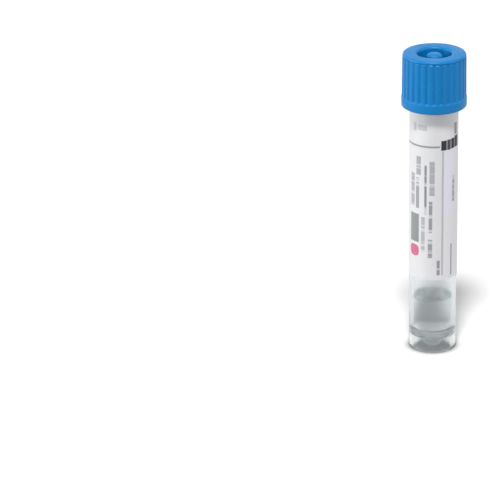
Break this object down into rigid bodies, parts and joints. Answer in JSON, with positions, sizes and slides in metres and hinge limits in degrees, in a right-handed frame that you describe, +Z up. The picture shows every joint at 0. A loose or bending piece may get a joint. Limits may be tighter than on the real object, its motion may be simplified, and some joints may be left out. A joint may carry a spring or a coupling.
{
  "type": "specimen swab tube",
  "caption": "Self-standing clear transport tube with a ribbed screw cap, conical floor, wrap label and liquid medium.",
  "frame": {"origin": "centre of the foot ring, on the surface that the tube stands on", "axes": "+Z up the tube's axis towards the cap; -Y is the front, where the label is centred"},
  "size_m": [0.0166, 0.0166, 0.08],
  "materials": {
    "clear_polypropylene": "clear moulded polypropylene, smooth",
    "blue_cap_plastic": "blue moulded polyethylene, satin",
    "seal_rubber": "soft moulded, matt",
    "label_paper": "coated paper label, semi-matt",
    "liquid_medium": "clear watery liquid"
  },
  "bodies": {
    "tube_body": {"tube": "clear_polypropylene", "label": "label_paper", "medium": "liquid_medium"},
    "seal_body": {"seal_ring": "seal_rubber"},
    "cap_body": {"cap": "blue_cap_plastic"}
  },
  "joints": [
    {"name": "cap_lift", "type": "slide", "parent": "tube_body", "child": "seal_body", "axis": [0, 0, 1], "range_m": [0, 0.0112]},
    {"name": "cap_turn", "type": "hinge", "parent": "seal_body", "child": "cap_body", "pos_m": [0, 0, 0.0784], "axis": [0, 0, 1], "range_deg": [0, 1260]}
  ],
  "couplings": [
    {"joint": "cap_turn", "follows": "cap_lift", "rad_per_m": 1963.5}
  ]
}
